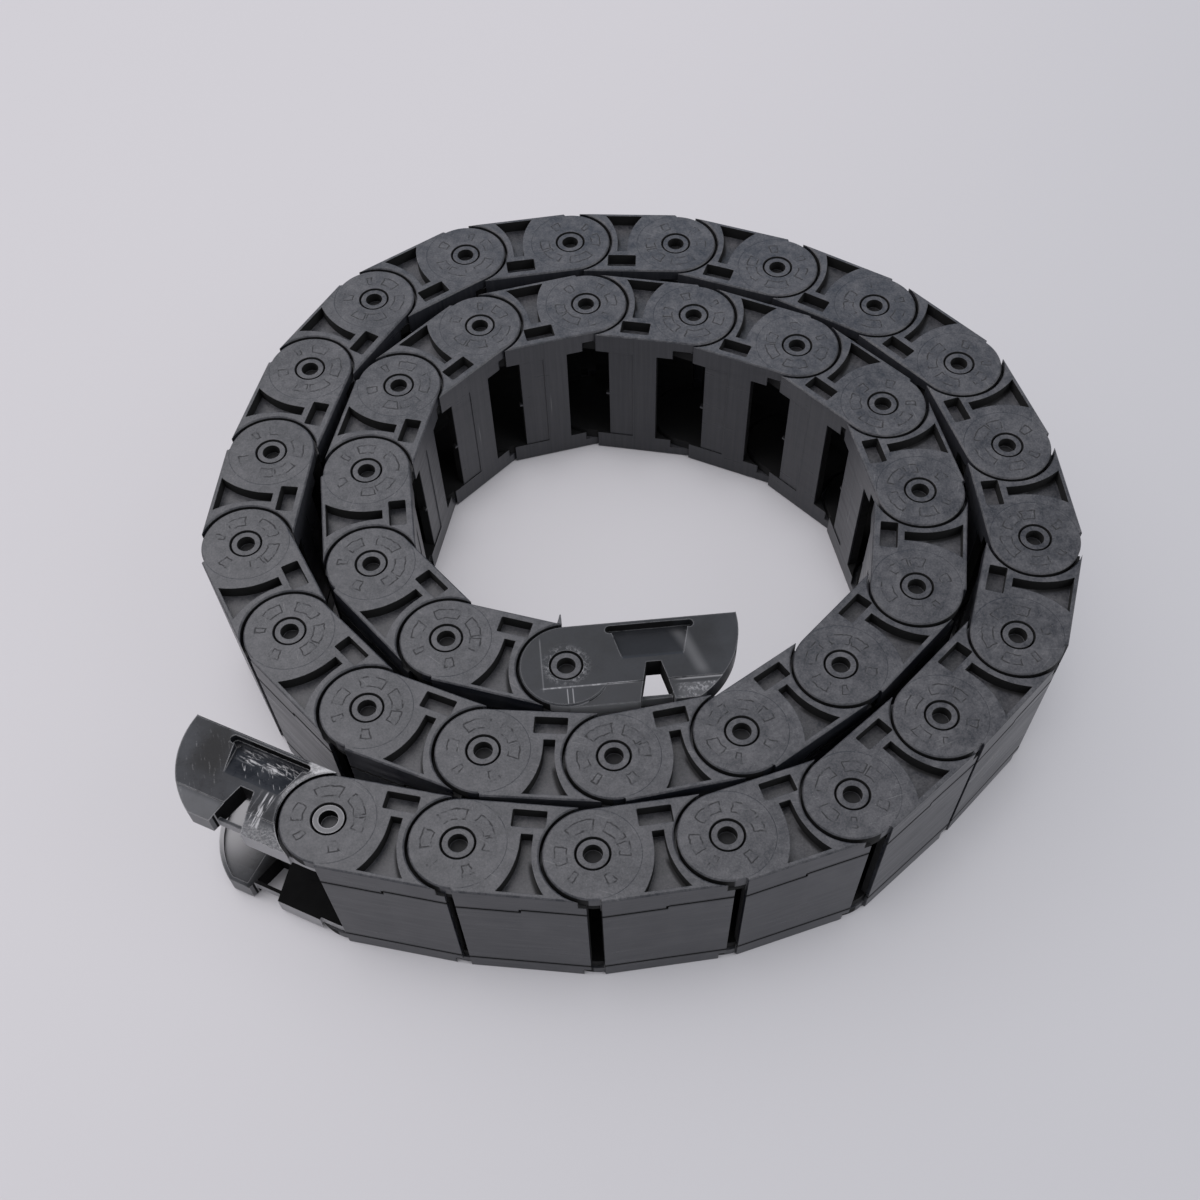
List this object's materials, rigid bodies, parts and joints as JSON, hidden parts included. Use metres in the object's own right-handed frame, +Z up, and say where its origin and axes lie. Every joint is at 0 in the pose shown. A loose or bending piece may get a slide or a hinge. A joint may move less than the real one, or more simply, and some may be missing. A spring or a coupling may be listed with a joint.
{
  "type": "cable drag chain",
  "caption": "Black plastic cable drag chain lying on its side in a loose coil: pinned open links that bend one way to a stop, with a notched end bracket at each end.",
  "frame": {"origin": "middle of the lying chain's box, on the floor", "axes": "+Z up, along every pivot; the picture looks along +Y, with +X to its right; the outer end bracket is at the left front"},
  "size_m": [0.19, 0.1878, 0.038],
  "materials": {
    "link_plastic": "black glass-filled nylon, dull, with grey scuffs",
    "bracket_plastic": "black nylon, smoother and a little glossier than the links, with whitened scratches"
  },
  "bodies": {
    "outer_end_bracket": {"outer_end_bracket": "bracket_plastic"},
    "link_01": {"link_01": "link_plastic"},
    "link_02": {"link_02": "link_plastic"},
    "link_03": {"link_03": "link_plastic"},
    "link_04": {"link_04": "link_plastic"},
    "link_05": {"link_05": "link_plastic"},
    "link_06": {"link_06": "link_plastic"},
    "link_07": {"link_07": "link_plastic"},
    "link_08": {"link_08": "link_plastic"},
    "link_09": {"link_09": "link_plastic"},
    "link_10": {"link_10": "link_plastic"},
    "link_11": {"link_11": "link_plastic"},
    "link_12": {"link_12": "link_plastic"},
    "link_13": {"link_13": "link_plastic"},
    "link_14": {"link_14": "link_plastic"},
    "link_15": {"link_15": "link_plastic"},
    "link_16": {"link_16": "link_plastic"},
    "link_17": {"link_17": "link_plastic"},
    "link_18": {"link_18": "link_plastic"},
    "link_19": {"link_19": "link_plastic"},
    "link_20": {"link_20": "link_plastic"},
    "link_21": {"link_21": "link_plastic"},
    "link_22": {"link_22": "link_plastic"},
    "link_23": {"link_23": "link_plastic"},
    "link_24": {"link_24": "link_plastic"},
    "link_25": {"link_25": "link_plastic"},
    "link_26": {"link_26": "link_plastic"},
    "link_27": {"link_27": "link_plastic"},
    "link_28": {"link_28": "link_plastic"},
    "link_29": {"link_29": "link_plastic"},
    "link_30": {"link_30": "link_plastic"},
    "link_31": {"link_31": "link_plastic"},
    "link_32": {"link_32": "link_plastic"},
    "link_33": {"link_33": "link_plastic"},
    "link_34": {"link_34": "link_plastic"},
    "link_35": {"link_35": "link_plastic"},
    "link_36": {"link_36": "link_plastic"},
    "inner_end_bracket": {"inner_end_bracket": "bracket_plastic"}
  },
  "joints": [
    {"name": "pivot_01", "type": "hinge", "parent": "outer_end_bracket", "child": "link_01", "pos_m": [-0.06375, -0.07331, 0.019], "axis": [0, 0, 1], "range_deg": [-13, 0]},
    {"name": "pivot_02", "type": "hinge", "parent": "link_01", "child": "link_02", "pos_m": [-0.0386, -0.07988, 0.019], "axis": [0, 0, 1], "range_deg": [-6.3, 0]},
    {"name": "pivot_03", "type": "hinge", "parent": "link_02", "child": "link_03", "pos_m": [-0.01287, -0.08365, 0.019], "axis": [0, 0, 1], "range_deg": [-13.78, 0]},
    {"name": "pivot_04", "type": "hinge", "parent": "link_03", "child": "link_04", "pos_m": [0.01301, -0.08117, 0.019], "axis": [0, 0, 1], "range_deg": [-11.15, 0]},
    {"name": "pivot_05", "type": "hinge", "parent": "link_04", "child": "link_05", "pos_m": [0.03793, -0.07374, 0.019], "axis": [0, 0, 1], "range_deg": [-23.23, 0]},
    {"name": "pivot_06", "type": "hinge", "parent": "link_05", "child": "link_06", "pos_m": [0.05789, -0.05708, 0.019], "axis": [0, 0, 1], "range_deg": [-4.54, 31.45]},
    {"name": "pivot_07", "type": "hinge", "parent": "link_06", "child": "link_07", "pos_m": [0.07646, -0.03889, 0.019], "axis": [0, 0, 1], "range_deg": [-27.12, 8.87]},
    {"name": "pivot_08", "type": "hinge", "parent": "link_07", "child": "link_08", "pos_m": [0.08471, -0.01423, 0.019], "axis": [0, 0, 1], "range_deg": [-21.13, 14.86]},
    {"name": "pivot_09", "type": "hinge", "parent": "link_08", "child": "link_09", "pos_m": [0.0835, 0.01174, 0.019], "axis": [0, 0, 1], "range_deg": [-11.97, 24.02]},
    {"name": "pivot_10", "type": "hinge", "parent": "link_09", "child": "link_10", "pos_m": [0.07694, 0.0369, 0.019], "axis": [0, 0, 1], "range_deg": [-25.53, 10.46]},
    {"name": "pivot_11", "type": "hinge", "parent": "link_10", "child": "link_11", "pos_m": [0.06017, 0.05677, 0.019], "axis": [0, 0, 1], "range_deg": [-16.02, 19.97]},
    {"name": "pivot_12", "type": "hinge", "parent": "link_11", "child": "link_12", "pos_m": [0.03856, 0.07123, 0.019], "axis": [0, 0, 1], "range_deg": [-11.17, 24.82]},
    {"name": "pivot_13", "type": "hinge", "parent": "link_12", "child": "link_13", "pos_m": [0.01456, 0.08124, 0.019], "axis": [0, 0, 1], "range_deg": [-17.31, 18.68]},
    {"name": "pivot_14", "type": "hinge", "parent": "link_13", "child": "link_14", "pos_m": [-0.01133, 0.08364, 0.019], "axis": [0, 0, 1], "range_deg": [-11.05, 24.94]},
    {"name": "pivot_15", "type": "hinge", "parent": "link_14", "child": "link_15", "pos_m": [-0.0372, 0.08104, 0.019], "axis": [0, 0, 1], "range_deg": [-26.08, 9.91]},
    {"name": "pivot_16", "type": "hinge", "parent": "link_15", "child": "link_16", "pos_m": [-0.05928, 0.06733, 0.019], "axis": [0, 0, 1], "range_deg": [-24.76, 11.23]},
    {"name": "pivot_17", "type": "hinge", "parent": "link_16", "child": "link_17", "pos_m": [-0.0736, 0.04562, 0.019], "axis": [0, 0, 1], "range_deg": [-16.84, 19.15]},
    {"name": "pivot_18", "type": "hinge", "parent": "link_17", "child": "link_18", "pos_m": [-0.08101, 0.0207, 0.019], "axis": [0, 0, 1], "range_deg": [-8.12, 27.87]},
    {"name": "pivot_19", "type": "hinge", "parent": "link_18", "child": "link_19", "pos_m": [-0.08482, -0.00502, 0.019], "axis": [0, 0, 1], "range_deg": [-33.19, 2.8]},
    {"name": "pivot_20", "type": "hinge", "parent": "link_19", "child": "link_20", "pos_m": [-0.07393, -0.02863, 0.019], "axis": [0, 0, 1], "range_deg": [-15.62, 20.37]},
    {"name": "pivot_21", "type": "hinge", "parent": "link_20", "child": "link_21", "pos_m": [-0.05709, -0.04843, 0.019], "axis": [0, 0, 1], "range_deg": [-23.98, 12.01]},
    {"name": "pivot_22", "type": "hinge", "parent": "link_21", "child": "link_22", "pos_m": [-0.03365, -0.05969, 0.019], "axis": [0, 0, 1], "range_deg": [-19.49, 16.5]},
    {"name": "pivot_23", "type": "hinge", "parent": "link_22", "child": "link_23", "pos_m": [-0.0078, -0.06246, 0.019], "axis": [0, 0, 1], "range_deg": [-15.24, 20.75]},
    {"name": "pivot_24", "type": "hinge", "parent": "link_23", "child": "link_24", "pos_m": [0.01787, -0.05835, 0.019], "axis": [0, 0, 1], "range_deg": [-24.81, 11.18]},
    {"name": "pivot_25", "type": "hinge", "parent": "link_24", "child": "link_25", "pos_m": [0.03945, -0.04384, 0.019], "axis": [0, 0, 1], "range_deg": [-11.35, 24.64]},
    {"name": "pivot_26", "type": "hinge", "parent": "link_25", "child": "link_26", "pos_m": [0.05774, -0.02536, 0.019], "axis": [0, 0, 1], "range_deg": [-34.46, 1.53]},
    {"name": "pivot_27", "type": "hinge", "parent": "link_26", "child": "link_27", "pos_m": [0.06237, 0.00022, 0.019], "axis": [0, 0, 1], "range_deg": [-20.36, 15.63]},
    {"name": "pivot_28", "type": "hinge", "parent": "link_27", "child": "link_28", "pos_m": [0.0578, 0.02582, 0.019], "axis": [0, 0, 1], "range_deg": [-31.85, 4.14]},
    {"name": "pivot_29", "type": "hinge", "parent": "link_28", "child": "link_29", "pos_m": [0.04041, 0.04515, 0.019], "axis": [0, 0, 1], "range_deg": [-21.77, 14.22]},
    {"name": "pivot_30", "type": "hinge", "parent": "link_29", "child": "link_30", "pos_m": [0.01709, 0.05665, 0.019], "axis": [0, 0, 1], "range_deg": [-13.97, 22.02]},
    {"name": "pivot_31", "type": "hinge", "parent": "link_30", "child": "link_31", "pos_m": [-0.00831, 0.06218, 0.019], "axis": [0, 0, 1], "range_deg": [-24.23, 11.76]},
    {"name": "pivot_32", "type": "hinge", "parent": "link_31", "child": "link_32", "pos_m": [-0.03375, 0.05679, 0.019], "axis": [0, 0, 1], "range_deg": [-31.33, 4.66]},
    {"name": "pivot_33", "type": "hinge", "parent": "link_32", "child": "link_33", "pos_m": [-0.05268, 0.03897, 0.019], "axis": [0, 0, 1], "range_deg": [-31.96, 4.03]},
    {"name": "pivot_34", "type": "hinge", "parent": "link_33", "child": "link_34", "pos_m": [-0.0593, 0.01383, 0.019], "axis": [0, 0, 1], "range_deg": [-18.98, 17.01]},
    {"name": "pivot_35", "type": "hinge", "parent": "link_34", "child": "link_35", "pos_m": [-0.05738, -0.0121, 0.019], "axis": [0, 0, 1], "range_deg": [-34.3, 1.69]},
    {"name": "pivot_36", "type": "hinge", "parent": "link_35", "child": "link_36", "pos_m": [-0.04118, -0.03244, 0.019], "axis": [0, 0, 1], "range_deg": [-32.98, 3.01]},
    {"name": "pivot_37", "type": "hinge", "parent": "link_36", "child": "inner_end_bracket", "pos_m": [-0.01651, -0.04067, 0.019], "axis": [0, 0, 1], "range_deg": [0, 15]}
  ],
  "couplings": [
    {"joint": "pivot_06", "follows": "pivot_05", "ratio": 0.19544},
    {"joint": "pivot_07", "follows": "pivot_05", "ratio": 1.1675},
    {"joint": "pivot_08", "follows": "pivot_05", "ratio": 0.9096},
    {"joint": "pivot_09", "follows": "pivot_05", "ratio": 0.51528},
    {"joint": "pivot_10", "follows": "pivot_05", "ratio": 1.099},
    {"joint": "pivot_11", "follows": "pivot_05", "ratio": 0.68963},
    {"joint": "pivot_12", "follows": "pivot_05", "ratio": 0.48084},
    {"joint": "pivot_13", "follows": "pivot_05", "ratio": 0.74516},
    {"joint": "pivot_14", "follows": "pivot_05", "ratio": 0.47568},
    {"joint": "pivot_15", "follows": "pivot_05", "ratio": 1.1227},
    {"joint": "pivot_16", "follows": "pivot_05", "ratio": 1.0659},
    {"joint": "pivot_17", "follows": "pivot_05", "ratio": 0.72492},
    {"joint": "pivot_18", "follows": "pivot_05", "ratio": 0.34955},
    {"joint": "pivot_19", "follows": "pivot_05", "ratio": 1.4288},
    {"joint": "pivot_20", "follows": "pivot_05", "ratio": 0.67241},
    {"joint": "pivot_21", "follows": "pivot_05", "ratio": 1.0323},
    {"joint": "pivot_22", "follows": "pivot_05", "ratio": 0.839},
    {"joint": "pivot_23", "follows": "pivot_05", "ratio": 0.65605},
    {"joint": "pivot_24", "follows": "pivot_05", "ratio": 1.068},
    {"joint": "pivot_25", "follows": "pivot_05", "ratio": 0.48859},
    {"joint": "pivot_26", "follows": "pivot_05", "ratio": 1.4834},
    {"joint": "pivot_27", "follows": "pivot_05", "ratio": 0.87645},
    {"joint": "pivot_28", "follows": "pivot_05", "ratio": 1.3711},
    {"joint": "pivot_29", "follows": "pivot_05", "ratio": 0.93715},
    {"joint": "pivot_30", "follows": "pivot_05", "ratio": 0.60138},
    {"joint": "pivot_31", "follows": "pivot_05", "ratio": 1.043},
    {"joint": "pivot_32", "follows": "pivot_05", "ratio": 1.3487},
    {"joint": "pivot_33", "follows": "pivot_05", "ratio": 1.3758},
    {"joint": "pivot_34", "follows": "pivot_05", "ratio": 0.81705},
    {"joint": "pivot_35", "follows": "pivot_05", "ratio": 1.4765},
    {"joint": "pivot_36", "follows": "pivot_05", "ratio": 1.4197}
  ]
}
